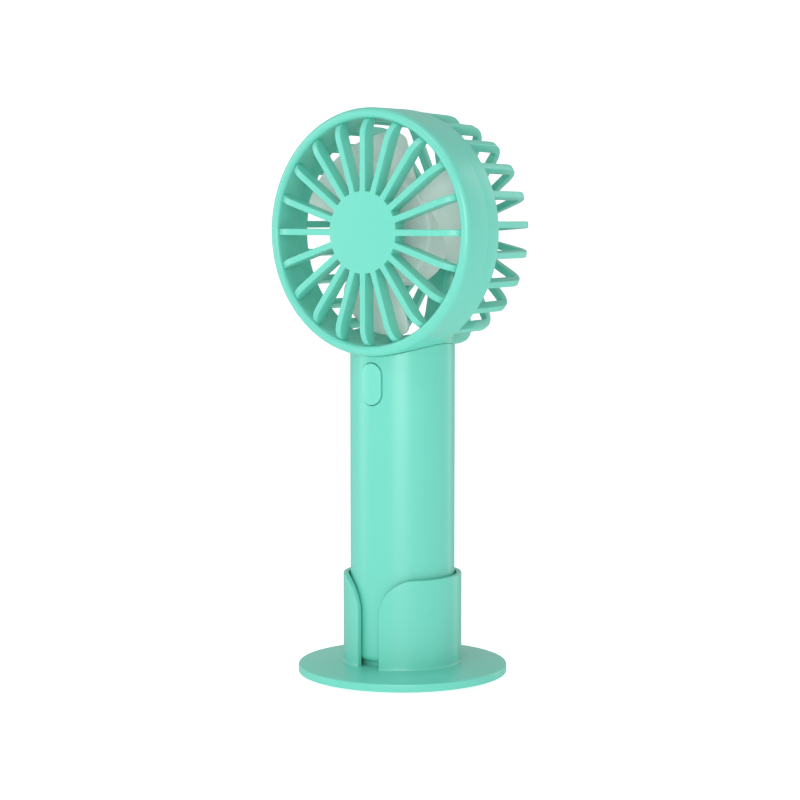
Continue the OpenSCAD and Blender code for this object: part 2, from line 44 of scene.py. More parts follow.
tau = 2 * np.pi


# shared shape makers

def turn(degrees):
    # degrees to radians
    return np.radians(degrees)


def roundCorners(points, radii, steps=6):
    # each corner is swapped for an arc that touches both sides at radius / tan(half the corner's angle)
    p = np.asarray(points, float)
    r = np.broadcast_to(np.asarray(radii, float), len(p))
    out = []
    for before, here, after, radius in zip(np.roll(p, 1, 0), p, np.roll(p, -1, 0), r):
        a, b = before - here, after - here
        a, b = a / np.linalg.norm(a), b / np.linalg.norm(b)
        if radius <= 0 or abs(a @ b) > 0.9995:
            out.append(here[None])
            continue
        half = np.arccos(np.clip(a @ b, -1, 1)) / 2
        centre = here + (a + b) / np.linalg.norm(a + b) * radius / np.sin(half)
        start, stop = here + a * radius / np.tan(half) - centre, here + b * radius / np.tan(half) - centre
        t = np.linspace(0, 1, steps + 1)[:, None]
        sweep = np.arccos(np.clip(start @ stop / radius ** 2, -1, 1))
        out.append(centre + (np.sin((1 - t) * sweep) * start + np.sin(t * sweep) * stop) / np.sin(sweep))
    return np.vstack(out)


def gridFaces(rows, cols, closeRows=False, closeCols=False):
    # quads between neighbouring rows and columns of a grid stored row by row
    i = np.arange(rows if closeRows else rows - 1)[:, None]
    j = np.arange(cols if closeCols else cols - 1)[None]
    i2, j2 = (i + 1) % rows, (j + 1) % cols
    return np.stack([i * cols + j, i * cols + j2, i2 * cols + j2, i2 * cols + j], -1).reshape(-1, 4)


def outward(verts, faces):
    # the volumes under the faces add up to a negative number when a closed skin is inside out
    v = verts[faces]
    volume = np.einsum("ij,ij->", v[:, 0], np.cross(v[:, 1], v[:, 2]) + np.cross(v[:, 2], v[:, 3]))
    return verts, faces if volume > 0 else faces[:, ::-1]


def revolve(profile, axis="z", steps=192):
    # a closed outline of (radius, height) points carried round the axis
    p = np.asarray(profile, float)
    a = np.linspace(0, tau, steps, endpoint=False)[:, None]
    r, h = np.maximum(p[:, 0], 0), p[:, 1] + 0 * a
    if axis == "z":
        v = np.stack([r * np.cos(a), r * np.sin(a), h], -1)
    else:
        v = np.stack([r * np.cos(a), h, headZ + r * np.sin(a)], -1)
    return outward(v.reshape(-1, 3), gridFaces(steps, len(p), True, True))


def ribbon(front, back, width, corner, angles, steps=4):
    # a bar whose section runs from the front line to the back line, as wide as width, with rounded corners;
    # both lines are (radius, y) points, and the bar is repeated at each angle round the head's axis
    front, back = np.asarray(front, float), np.asarray(back, float)
    width = np.broadcast_to(np.asarray(width, float), len(front))[:, None]
    depth = np.linalg.norm(back - front, axis=1)[:, None]
    q = np.linspace(0, np.pi / 2, steps + 1)
    near, side = corner * (1 - np.cos(q)), corner * (1 - np.sin(q))
    zero, one = np.zeros(steps + 1), np.ones(steps + 1)
    off = np.concatenate([near, -near[::-1], -near, near[::-1]])
    far = np.concatenate([zero, one, one, zero])
    edge = np.concatenate([side, side[::-1], side, side[::-1]])
    hand = np.concatenate([one, one, -one, -one])
    along = (off + far * depth) / depth
    across = hand * (width / 2 - edge)
    flat = front[:, None] + (back - front)[:, None] * along[..., None]
    a = turn(np.asarray(angles, float))[:, None, None]
    r, y, b = flat[None, ..., 0], flat[None, ..., 1], across[None]
    v = np.stack([r * np.cos(a) - b * np.sin(a), y + 0 * a, headZ + r * np.sin(a) + b * np.cos(a)], -1)
    rows, cols = flat.shape[:2]
    body = gridFaces(rows, cols, False, True)
    k = np.arange(cols // 2 - 1)
    cap = np.stack([k, k + 1, cols - 2 - k, cols - 1 - k], -1)
    body = np.concatenate([body, cap[:, ::-1], cap + (rows - 1) * cols])
    return [outward(one, body) for one in v.reshape(len(a), -1, 3)]


def joinSkins(skins):
    # each skin's faces count on from the points of the skins before it
    starts = np.cumsum([0] + [len(v) for v, f in skins])
    return np.vstack([v for v, f in skins]), np.vstack([f + start for (v, f), start in zip(skins, starts)])


def makePiece(name, parts, material, body, nodes=(), sharp=50):
    # several closed skins are joined into one mesh, with shared points merged and soft shading up to the
    # sharp angle; a face that loses a corner in the merge stays as a triangle
    verts, faces = joinSkins([(v * mm, f) for v, f in parts])
    key = np.round(verts / mergeDistance).astype(np.int64)
    first, back = np.unique(key, axis=0, return_index=True, return_inverse=True)[1:]
    verts, faces = verts[first], back.reshape(-1)[faces]
    nextOne = np.roll(faces, -1, 1)
    real = faces != nextOne
    short = [face[keep].tolist() for face, keep in zip(faces[~real.all(1)], real[~real.all(1)])]
    polys = faces[real.all(1)].tolist() + [face for face in short if len(face) == 3 and len(set(face)) == 3]
    mesh = bpy.data.meshes.new(name)
    mesh.from_pydata(verts, [], polys)
    mesh.polygons.foreach_set("use_smooth", np.ones(len(mesh.polygons), bool))
    mesh.set_sharp_from_angle(angle=radians(sharp))
    mesh.materials.append(material)
    mesh.update()
    piece = bpy.data.objects.new(name, mesh)
    bpy.context.scene.collection.objects.link(piece)
    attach(piece, body)
    if nodes:
        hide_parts(*nodes)
    return piece


# materials

def sRgb(r, g, b):
    # display colour to linear light: a straight part near black, then the power 2.4
    c = np.array([r, g, b]) / 255
    return (*np.where(c <= 0.04045, c / 12.92, ((c + 0.055) / 1.055) ** 2.4).tolist(), 1)


def newMaterial(name):
    # an empty node material with its main shader
    material = bpy.data.materials.new(name)
    material.use_nodes = True
    nodes, links = material.node_tree.nodes, material.node_tree.links
    return material, nodes, links, nodes["Principled BSDF"]


def mouldedPlastic(name, colour, shift=0.04, rough=(0.30, 0.38), grain=0.02, **sockets):
    # colour drifts slowly between two near shades, roughness follows a finer cloud, and a fine grain lifts
    # the skin
    material, nodes, links, shader = newMaterial(name)
    place = nodes.new("ShaderNodeTexCoord").outputs["Object"]

    def cloud(scale, detail):
        noise = nodes.new("ShaderNodeTexNoise")
        noise.inputs["Scale"].default_value = scale
        noise.inputs["Detail"].default_value = detail
        links.new(place, noise.inputs["Vector"])
        return noise.outputs["Fac"]

    mix = nodes.new("ShaderNodeMix")
    mix.data_type = "RGBA"
    mix.inputs["A"].default_value = (*[c * (1 - shift) for c in colour[:3]], 1)
    mix.inputs["B"].default_value = (*[min(1, c * (1 + shift)) for c in colour[:3]], 1)
    links.new(cloud(35, 3), mix.inputs["Factor"])
    links.new(mix.outputs["Result"], shader.inputs["Base Color"])
    spread = nodes.new("ShaderNodeMapRange")
    spread.inputs["To Min"].default_value, spread.inputs["To Max"].default_value = rough
    links.new(cloud(160, 4), spread.inputs["Value"])
    links.new(spread.outputs["Result"], shader.inputs["Roughness"])
    bump = nodes.new("ShaderNodeBump")
    bump.inputs["Strength"].default_value = grain
    bump.inputs["Distance"].default_value = 0.0002
    links.new(cloud(2600, 2), bump.inputs["Height"])
    links.new(bump.outputs["Normal"], shader.inputs["Normal"])
    for socket, value in sockets.items():
        shader.inputs[socket.replace("_", " ")].default_value = value
    return material


finishes = {
    "mint": sRgb(103, 203, 183),
    "mintButton": sRgb(107, 206, 187),
    "milk": sRgb(246, 251, 248),
}
mintPlastic = mouldedPlastic("mintPlastic", finishes["mint"], 0.015, (0.285, 0.335), Specular_IOR_Level=0.7)
mintButton = mouldedPlastic("mintButtonPlastic", finishes["mintButton"], 0.015, (0.28, 0.32),
                            Specular_IOR_Level=0.7)
milkyPlastic = mouldedPlastic("milkyBladePlastic", finishes["milk"], 0.03, (0.28, 0.4), 0.05,
                              Transmission_Weight=0.2, IOR=1.25)
padRubber = mouldedPlastic("padRubber", sRgb(128, 178, 166), 0.08, (0.75, 0.9), 0.4)
palePlastic = mouldedPlastic("paleInnerPlastic", sRgb(222, 222, 214), 0.03, (0.45, 0.55), 0.05)
lightPlastic = mouldedPlastic("lightGuidePlastic", sRgb(238, 238, 232), 0.02, (0.3, 0.4), 0.02)
cellWrap = mouldedPlastic("cellWrap", sRgb(60, 110, 180), 0.05, (0.25, 0.35))
boardMask = mouldedPlastic("boardMask", sRgb(24, 96, 54), 0.1, (0.35, 0.5), 0.1)
leadSleeve = mouldedPlastic("leadSleeve", sRgb(186, 36, 30), 0.05, (0.4, 0.5))
platedSteel = mouldedPlastic("platedSteel", sRgb(196, 198, 200), 0.05, (0.25, 0.38), 0.05, Metallic=1)
motorSteel = mouldedPlastic("motorCanSteel", sRgb(170, 172, 174), 0.06, (0.3, 0.45), 0.08, Metallic=1)
turnedBrass = mouldedPlastic("turnedBrass", sRgb(206, 170, 96), 0.05, (0.25, 0.4), 0.05, Metallic=1)
magnetFerrite = mouldedPlastic("magnetFerrite", sRgb(52, 52, 54), 0.1, (0.5, 0.65), 0.2)
windingCopper = mouldedPlastic("windingCopper", sRgb(170, 100, 66), 0.12, (0.35, 0.5), 0.3, Metallic=1)
print("materials ready")


# stand: a thin disc with a slotted cup

stand = {
    "baseRadius": 41.7, "bottom": 0.3, "edgeTop": 3.4, "top": 4.7, "edge": 0.5,
    "padRadius": 38.1, "padDepth": 0.7,
    "cupOut": 23.65, "cupIn": 21.55, "cupTop": 40.2, "rim": 0.4, "foot": 0.6,
    "slotHalf": 5.07, "flare": 14.8,
    "restOut": 18.0, "restIn": 14.0, "restTop": 6.45,
    "domeLow": (37.0, 3.86), "domeHigh": (30.5, 4.4), "domeBends": (20, 40),
}


def standDisc(s):
    # the plate's outline from its axis underneath, round the edge and over the low dome, carried round z
    outline = [
        (0, s["bottom"] + s["padDepth"]), (s["padRadius"], s["bottom"] + s["padDepth"]),
        (s["padRadius"], s["bottom"]), (s["baseRadius"], s["bottom"]), (s["baseRadius"], s["edgeTop"]),
        s["domeLow"], s["domeHigh"], (s["cupOut"], s["top"]), (s["restOut"], s["top"]),
        (s["restOut"], s["restTop"]), (s["restIn"], s["restTop"]), (s["restIn"], s["top"]), (0, s["top"]),
    ]
    radii = [0, 0, 0.2, 0.3, s["edge"], *s["domeBends"], 0, 0, 0.2, 0.2, 0, 0]
    return revolve(roundCorners(outline, radii, 8), steps=256)


def cupEdge(s, inset, n=40):
    # the cup's upper edge unrolled as (arc length, height): up the slot, a quarter round out to the rim, and
    # along it
    q = np.linspace(0, np.pi / 2, n)
    bend = s["flare"] - inset
    slotEdge = np.arcsin(s["slotHalf"] / s["cupOut"]) * s["cupOut"]
    flare = np.stack([slotEdge + inset + bend * (1 - np.cos(q)),
                      s["cupTop"] - inset - bend * (1 - np.sin(q))], -1)
    far = np.pi * s["cupOut"]
    rim = np.stack([np.linspace(flare[-1, 0], far, 90)[1:], np.full(89, s["cupTop"] - inset)], -1)
    oneSide = np.vstack([flare, rim])
    otherSide = oneSide[::-1][1:] * [-1, 1] + [2 * far, 0]
    return np.vstack([oneSide, otherSide])


def cupWall(s):
    # the unrolled wall is a grid whose top row follows the cup's edge; arc length over radius is the angle,
    # and quarter rounds carry the outer and the inner skin to the edge between them
    rows = 30
    rim = s["rim"]
    inner, outer = cupEdge(s, rim), cupEdge(s, 0)
    low = s["top"] - 0.2
    t = np.linspace(0, 1, rows)[:, None]
    foot = np.clip(t * 8, 0, 1)          # the first rows stay close together for the fillet at the plate
    t = np.where(t < 0.125, 0, (t - 0.125) / 0.875)
    h = low + (s["foot"] + 0.2) * foot + (inner[:, 1] - low - s["foot"] - 0.2) * t

    def around(arc, height, radius):
        a = arc / s["cupOut"] - np.pi / 2
        return np.stack([radius * np.cos(a), radius * np.sin(a), height + 0 * a], -1)

    arc = np.broadcast_to(inner[:, 0], h.shape)
    lift = np.clip((h - s["top"]) / s["foot"], 0, 1)
    swell = s["foot"] * (1 - np.sqrt(1 - (1 - lift) ** 2))
    outerSkin = around(arc, h, s["cupOut"] + swell)
    innerSkin = around(arc, h, s["cupIn"])

    def border(grid):
        # up the first column, along the top row, down the last column
        return np.concatenate([grid[:-1, 0], grid[-1], grid[-2::-1, -1]])

    q = np.linspace(0, np.pi / 2, 6)[:, None]
    edgeIn = border(np.stack([arc, h], -1))
    colHeights = h[:-1, 0]
    edgeOut = np.vstack([
        np.stack([np.full(rows - 1, outer[0, 0]), colHeights], -1), outer,
        np.stack([np.full(rows - 1, outer[-1, 0]), h[-2::-1, -1]], -1)])
    out3 = np.concatenate([
        around(edgeIn[:, 0] + (edgeOut[:, 0] - edgeIn[:, 0]) * np.sin(q),
               edgeIn[:, 1] + (edgeOut[:, 1] - edgeIn[:, 1]) * np.sin(q),
               s["cupOut"] - rim + rim * np.cos(q) + border(swell[..., None])[:, 0]),
        around(edgeIn[:, 0] + (edgeOut[:, 0] - edgeIn[:, 0]) * np.cos(q),
               edgeIn[:, 1] + (edgeOut[:, 1] - edgeIn[:, 1]) * np.cos(q),
               s["cupIn"] + rim - rim * np.sin(q)),
    ])
    n = outerSkin.shape[1]
    strip = out3.reshape(-1, edgeIn.shape[0], 3)
    skins = [(outerSkin.reshape(-1, 3), gridFaces(rows, n)),
             (innerSkin.reshape(-1, 3), gridFaces(rows, n)[:, ::-1]),
             (strip.reshape(-1, 3), gridFaces(len(strip), strip.shape[1])[:, ::-1])]
    # a hidden floor strip closes the wall inside the disc
    floorRow = np.stack([outerSkin[0], innerSkin[0]])
    skins.append((floorRow.reshape(-1, 3), gridFaces(2, n)[:, ::-1]))
    return outward(*joinSkins(skins))


makePiece("standCup", [standDisc(stand), cupWall(stand)],
          mintPlastic, "stand", ["stand_base"])
print("stand made")


# handle: a plain tube with a saddle cut at the top and windows for the button, socket and light

handle = {
    "radius": 20.8, "inner": 19.0, "bottom": 6.5, "round": 2.8, "floor": 2.2, "door": 14.5,
    "saddle": 48.06, "edge": 0.3, "levelTop": 125.8, "columns": 192, "fineFrom": 93.0, "fineStep": 0.8,
    "button": {"w": 9.7, "h": 16.9, "z": 116.7, "side": -1, "round": 0.25},
    "socket": {"w": 9.7, "h": 4.0, "z": 96.0, "side": 1, "round": 0.35},
    "light": {"w": 3.2, "h": 3.2, "z": 105.0, "side": 1, "round": 0.2},
}


def nearestOnPill(points, w, h):
    # the closest point of a pill outline lies straight out from the nearest point of its middle line
    r = min(w, h) / 2
    reach = np.array([w / 2 - r, h / 2 - r])
    middle = np.clip(points, -reach, reach)
    away = points - middle
    return middle + away / np.linalg.norm(away, axis=-1, keepdims=True) * r


def handleShell(s):
    # a grid of columns round the tube and rows up it; the top row is where a circle about the head's axis
    # cuts the tube, and each window swaps a patch of the grid for rings that shrink to a pill outline
    n = s["columns"]
    a = np.linspace(0, tau, n, endpoint=False)
    x, y = np.cos(a), np.sin(a)
    # the outer skin runs from the door's edge round the corner, then in level rows, then in rows that rise
    # to the saddle
    q = np.linspace(0, np.pi / 2, 12)
    low = [(s["door"], s["bottom"])] + [
        (s["radius"] - s["round"] + s["round"] * np.sin(t), s["bottom"] + s["round"] * (1 - np.cos(t)))
        for t in q]
    rowZ = np.concatenate([np.linspace(low[-1][1], s["fineFrom"], 40)[1:-1],
                           np.arange(s["fineFrom"], s["levelTop"] - 0.01, s["fineStep"]),
                           [s["levelTop"]]])

    def skin(radius, rows, edge):
        top = headZ - np.sqrt(s["saddle"] ** 2 - (radius * x) ** 2) - edge
        t = np.linspace(0, 1, 9)[1:, None]
        rise = s["levelTop"] + (top - s["levelTop"]) * t
        z = np.vstack([rows[:, None] + 0 * a, rise])
        return np.stack([radius * x + 0 * z, radius * y + 0 * z, z], -1)

    outer = skin(s["radius"], rowZ, s["edge"])
    inner = skin(s["inner"], rowZ, s["edge"])
    t = np.linspace(0, np.pi / 2, 5)[1:, None]

    def lip(radius, sign):
        rr = radius - sign * s["edge"] * (1 - np.cos(t))
        top = headZ - np.sqrt(s["saddle"] ** 2 - (rr * x) ** 2)
        zz = top - s["edge"] * (1 - np.sin(t))
        return np.stack([rr * x, rr * y, zz], -1)

    bottomRows = np.stack([np.stack([r * x, r * y, z + 0 * x], -1) for r, z in low])
    innerFloor = np.stack([np.stack([r * x, r * y, z + 0 * x], -1)
                           for r, z in [(s["inner"], s["bottom"] + s["floor"]),
                                        (s["door"], s["bottom"] + s["floor"])]])
    grid = np.concatenate([bottomRows, outer, lip(s["radius"], 1), lip(s["inner"], -1)[::-1],
                           inner[::-1], innerFloor])
    rows = len(grid)
    faces = gridFaces(rows, n, True, True).reshape(rows, n, 4)
    keep = np.ones((rows, n), bool)
    extra = []
    outerStart, innerStart = len(bottomRows), len(bottomRows) + len(outer) + 8
    for window in (s["button"], s["socket"], s["light"]):
        cols = int(np.ceil((window["w"] / 2 + 2.2) / s["radius"] / (tau / n)))
        middle = n // 4 if window["side"] > 0 else 3 * n // 4
        c0, c1 = middle - cols, middle + cols
        reach = window["h"] / 2 + 0.5
        r0 = int(np.searchsorted(rowZ, window["z"] - reach)) - 1
        r1 = int(np.searchsorted(rowZ, window["z"] + reach - 1e-6))
        r1 = min(r1, len(rowZ) - 1)
        ring = [(r0, c) for c in range(c0, c1)] + [(r, c1) for r in range(r0, r1)] + \
               [(r1, c) for c in range(c1, c0, -1)] + [(r, c0) for r in range(r1, r0, -1)]
        ring = np.array(ring)
        keep[outerStart + r0:outerStart + r1, c0:c1] = False
        total = len(outer)
        keep[innerStart + total - 1 - r1:innerStart + total - 1 - r0, c0:c1] = False
        flat = np.stack([s["radius"] * x[ring[:, 1]], rowZ[ring[:, 0]] - window["z"]], -1)

        def onSkin(points, radius):
            return np.stack([points[..., 0], window["side"] * np.sqrt(radius ** 2 - points[..., 0] ** 2),
                             points[..., 1] + window["z"]], -1)
        wide = nearestOnPill(flat, window["w"] + 2 * window["round"], window["h"] + 2 * window["round"])
        blend = np.array([0, 0.3, 0.6, 0.85])[:, None, None]
        sheets = [onSkin(flat + (wide - flat) * blend, s["radius"])]
        for q2 in np.linspace(0, np.pi / 2, 5):
            grow = window["round"] * (1 - np.sin(q2))
            hole = nearestOnPill(flat, window["w"] + 2 * grow, window["h"] + 2 * grow)
            sheets.append(onSkin(hole, s["radius"] - window["round"] * (1 - np.cos(q2)))[None])
        hole = nearestOnPill(flat, window["w"], window["h"])
        sheets.append(onSkin(hole, s["inner"])[None])
        innerFlat = flat * [s["inner"] / s["radius"], 1]
        sheets.append(onSkin(hole + (innerFlat - hole) * 0.5, s["inner"])[None])
        sheets.append(onSkin(innerFlat, s["inner"])[None])
        strip = np.concatenate(sheets)
        flip = window["side"] > 0
        f = gridFaces(len(strip), strip.shape[1], False, True)
        extra.append((strip.reshape(-1, 3), f[:, ::-1] if flip else f))
    return outward(*joinSkins([(grid.reshape(-1, 3), faces[keep]), *extra]))


makePiece("handleShell", [handleShell(handle)], mintPlastic, "fan", ["handle_shell"])
print("handle made")


# speed button: a pill that follows the handle's curve

button = {"w": 9.2, "h": 16.4, "z": 116.7, "top": 21.48, "edge": 0.4, "back": 18.6,
          "flangeW": 12.0, "flangeH": 19.2, "flangeOut": 18.85, "flangeIn": 17.65,
          "stem": 2.2, "stemRoot": -18.0, "stemTip": -3.8, "stemZ": 112.7}


def pillStack(rings, z, count=96):
    # rings of (width, height, radius): each is a pill outline laid on a cylinder of that radius
    a = np.linspace(0, tau, count, endpoint=False)
    out = []
    for w, h, radius in rings:
        r = max(min(w, h) / 2, 1e-4)
        straight = max(h / 2 - r, 0)
        p = np.stack([r * np.cos(a), r * np.sin(a) + straight * np.clip(np.sin(a) * 40, -1, 1)], -1)
        out.append(np.stack([p[:, 0], -np.sqrt(radius ** 2 - p[:, 0] ** 2), p[:, 1] + z], -1))
    return np.stack(out)


def speedButton(s):
    # pill rings from the middle of the face out over a round edge, down the side and out to the flange
    q = np.linspace(0, np.pi / 2, 7)
    rings = [(s["w"] - 2 * d, s["h"] - 2 * d, s["top"]) for d in np.linspace(s["w"] / 2, s["edge"], 9)]
    rings += [(s["w"] - 2 * s["edge"] * (1 - np.sin(t)), s["h"] - 2 * s["edge"] * (1 - np.sin(t)),
               s["top"] - s["edge"] * (1 - np.cos(t))) for t in q[1:]]
    rings += [(s["w"], s["h"], s["flangeOut"] + 0.01), (s["flangeW"], s["flangeH"], s["flangeOut"]),
              (s["flangeW"], s["flangeH"], s["flangeIn"]),
              (0.5, s["flangeH"] - s["flangeW"] + 0.5, s["flangeIn"]),
              (0.0, s["flangeH"] - s["flangeW"], s["flangeIn"])]
    grid = pillStack(rings, s["z"])
    return outward(grid.reshape(-1, 3), gridFaces(len(grid), grid.shape[1], False, True))


def rodAlongY(radius, x, z, y0, y1, edge=0.2, steps=48):
    # a cylinder with rounded ends, moved to x and z
    outline = roundCorners([(0, y0), (radius, y0), (radius, y1), (0, y1)], [0, edge, edge, 0], 4)
    v, f = revolve(outline, "y", steps)
    return v + [x, 0, z - headZ], f


makePiece("speedButton", [speedButton(button),
                          rodAlongY(button["stem"], 0, button["stemZ"],
                                    button["stemRoot"], button["stemTip"])],
          mintButton, "button", ["speed_button"])
print("button made")


# front cover: rounded ring, plain centre disc and the spokes that curve back into the ring

cover = {
    "outer": 48.0, "inner": 43.9, "lip": -24.5, "seam": -11.0, "innerSeam": -12.0,
    "lipOut": 2.4, "lipIn": 1.7, "seamEdge": 0.22,
    "rabbet": 1.2, "grooveOut": 2.8, "grooveIn": 1.3, "grooveDepth": 5,
    "discRadius": 15.9, "discY": -26.6, "discEdge": 0.25, "discWall": 1.8, "spokeDepth": 6.0,
    "spokes": 20, "spokeWidth": 2.55, "spokeEdge": 0.35, "bend": 7.7, "drop": 6.0, "rootFlare": 0.5,
}


def frontRing(s):
    # the ring's section, with a step and a groove for the snap joint, carried round the head's axis
    step = s["outer"] - s["rabbet"]
    grooveOut, grooveIn = s["inner"] + s["grooveOut"], s["inner"] + s["grooveIn"]
    grooveEnd = s["innerSeam"] - s["grooveDepth"]
    outline = [
        (s["inner"], s["lip"]), (s["outer"], s["lip"]), (s["outer"], s["seam"]),
        (step, s["seam"]), (step, s["innerSeam"]), (grooveOut, s["innerSeam"]), (grooveOut, grooveEnd),
        (grooveIn, grooveEnd), (grooveIn, s["innerSeam"]), (s["inner"], s["innerSeam"]),
    ]
    e = s["seamEdge"]
    return revolve(roundCorners(outline, [s["lipIn"], s["lipOut"], e, 0, 0, 0, 0, 0, 0, e], 10), "y", 288)


def centreDisc(s):
    # a flat disc with a skirt behind its edge, carried round the head's axis
    back = s["discY"] + s["spokeDepth"] + 0.2
    innerRadius, innerY = s["discRadius"] - s["discWall"], s["discY"] + s["discWall"]
    outline = [(0, s["discY"]), (s["discRadius"], s["discY"]), (s["discRadius"], back),
               (innerRadius, back), (innerRadius, innerY), (0, innerY)]
    return revolve(roundCorners(outline, [0, s["discEdge"], 0.3, 0.3, 0.8, 0], 8), "y", 192)


def spokeSet(s):
    # the front line runs flat, then follows a quarter ellipse back to the ring's wall;
    # the back line follows it more gently
    q = np.linspace(0, np.pi / 2, 16)
    start = s["discRadius"] - 1.0
    stop = s["inner"] + 0.5
    straight = np.linspace(start, stop - s["bend"], 12)[:-1]
    flare = s["rootFlare"] * np.clip(1 - (straight - s["discRadius"]) / 1.2, 0, 1) ** 2
    x = np.concatenate([straight, stop - s["bend"] + s["bend"] * np.sin(q)])
    y = s["discY"] + 0.015 + np.concatenate([0 * straight, s["drop"] * (1 - np.cos(q))])
    yBack = s["discY"] + s["spokeDepth"] + np.concatenate([0 * straight, 0.4 * s["drop"] * (1 - np.cos(q))])
    width = s["spokeWidth"] + np.concatenate([flare, 0 * q])
    angles = 90 + 360 / s["spokes"] * np.arange(s["spokes"])
    return ribbon(np.stack([x, y], -1), np.stack([x, yBack], -1), width, s["spokeEdge"], angles)


makePiece("frontCover", [frontRing(cover), centreDisc(cover), *spokeSet(cover)],
          mintPlastic, "fan", ["front_cover"])
print("front cover made")


# rear cover: ring, ribs that turn the corner and lean in to the motor cup, spine and saddle

cage = {
    "outer": 48.0, "inner": 43.9, "front": -10.92, "innerFront": -11.92, "back": -3.2, "innerBack": -5.3,
    "edge": 0.8, "ribs": 25, "ribWidth": 2.6, "ribDepth": 4.0, "ribEdge": 0.4,
    "cornerRadius": 11.0, "innerCorner": 2.2, "cornerR": 36.3, "cornerY": 15.0, "lean": 14.0,
    "hubOut": 14.4, "hubIn": 12.4, "hubFront": 6.0, "hubBack": 31.6, "hubFloor": 29.6,
    "spineWidth": 8.0, "spineDepth": 6.5, "spineEdge": 0.9, "saddle": 20.8, "saddleEdge": 0.5,
    "rabbet": 1.25, "tongueOut": 2.65, "tongueIn": 1.45, "tongueDepth": 4, "chamfer": 2.4,
}


def ribLines(s, depth):
    # outer line: nearly straight back, round the corner, then leaning in; the inner line runs depth further
    # in, and its own, tighter corner is moved out along both straight parts so that it still touches them
    lean = turn(s["lean"])
    q = np.linspace(0, np.pi / 2 - lean, 12)

    def line(offset, start):
        r = s["cornerRadius"] - offset
        turnR = min(r, s["innerCorner"]) if offset else r
        shift = r - turnR
        lift = shift * (1 - np.sin(lean)) / np.cos(lean)
        corner = np.stack([s["cornerR"] + shift + turnR * np.cos(q),
                           s["cornerY"] + lift + turnR * np.sin(q)], -1)
        first = np.stack([np.linspace(start, corner[0, 0], 9),
                          np.linspace(s["back"] - 1.5, corner[0, 1], 9)], -1)[:-1]
        endR = s["hubOut"] - 1
        stopY = s["cornerY"] + r * np.cos(lean) + (s["cornerR"] + r * np.sin(lean) - endR) * np.tan(lean)
        last = np.stack([np.linspace(corner[-1, 0], endR, 12),
                         np.linspace(corner[-1, 1], stopY, 12)], -1)[1:]
        return np.vstack([first, corner, last])

    return line(0, s["outer"] - 0.15), line(depth, s["outer"] - depth)


def rearRing(s):
    # the ring's section, with the tongue that fits the groove, carried round the head's axis
    step = s["outer"] - s["rabbet"]
    tongueOut, tongueIn = s["inner"] + s["tongueOut"], s["inner"] + s["tongueIn"]
    tongueEnd = s["innerFront"] - s["tongueDepth"]
    outline = [
        (s["inner"], s["innerFront"]), (tongueIn, s["innerFront"]), (tongueIn, tongueEnd),
        (tongueOut, tongueEnd), (tongueOut, s["innerFront"]), (step, s["innerFront"]), (step, s["front"]),
        (s["outer"], s["front"]), (s["outer"], s["back"]), (s["outer"] - s["chamfer"], s["back"]),
        (s["inner"], s["innerBack"]),
    ]
    radii = [0.22, 0, 0.2, 0.2, 0, 0, 0, 0.22, s["edge"], 0.6, 0.5]
    return revolve(roundCorners(outline, radii, 8), "y", 288)


def motorCup(s):
    # a round cup, open to the front, carried round the head's axis
    outline = [(0, s["hubFloor"]), (s["hubIn"], s["hubFloor"]), (s["hubIn"], s["hubFront"]),
               (s["hubOut"], s["hubFront"]), (s["hubOut"], s["hubBack"]), (0, s["hubBack"])]
    return revolve(roundCorners(outline, [0, 0.4, 0.4, 0.4, 1.2, 0], 8), "y", 192)


def saddleBlock(s):
    # carries the ring's wall back over the handle: for each x, the section runs along y between two cylinders
    a = np.linspace(-np.pi / 2, np.pi / 2, 65)
    x = s["saddle"] * np.sin(a)
    reach = s["saddle"] * np.cos(a)
    front, back = np.maximum(-reach, s["innerBack"] + 0.1), reach
    e = s["saddleEdge"]
    q = np.linspace(0, np.pi / 2, 5)
    along, up = [], []
    for px, pr, ox, orr in [(1, 0, -1, 1), (1, 1, -1, -1), (0, 1, 1, -1), (0, 0, 1, 1)]:
        t = q if (px, pr) in [(1, 0), (0, 1)] else q[::-1]
        along.append(np.stack([np.full(5, px), ox * e * (1 - np.sin(t))], -1))
        up.append(np.stack([np.full(5, pr), orr * e * (1 - np.cos(t))], -1))
    along, up = np.vstack(along), np.vstack(up)
    squeeze = np.clip((back - front) / 4, 0, 1)[:, None]
    y = front[:, None] + (back - front)[:, None] * along[:, 0] + along[:, 1] * squeeze
    radius = s["outer"] - 0.03 + (s["inner"] - s["outer"]) * up[:, 0] - up[:, 1] * squeeze
    z = headZ - np.sqrt(radius ** 2 - x[:, None] ** 2)
    v = np.stack([x[:, None] + 0 * z, y, z], -1)
    return outward(v.reshape(-1, 3), gridFaces(len(v), v.shape[1], False, True))


ribAngles = 90 + 360 / cage["ribs"] * np.arange(cage["ribs"])
ribOuter, ribInner = ribLines(cage, cage["ribDepth"])
spineOuter, spineInner = ribLines(cage, cage["spineDepth"])
makePiece("rearCover", [
    rearRing(cage), motorCup(cage), saddleBlock(cage),
    *ribbon(ribOuter, ribInner, cage["ribWidth"], cage["ribEdge"], ribAngles),
    *ribbon(spineOuter, spineInner, cage["spineWidth"], cage["spineEdge"], [-90]),
], mintPlastic, "fan", ["rear_cover"])
print("rear cover made")


# impeller: hub and swept, twisted blades

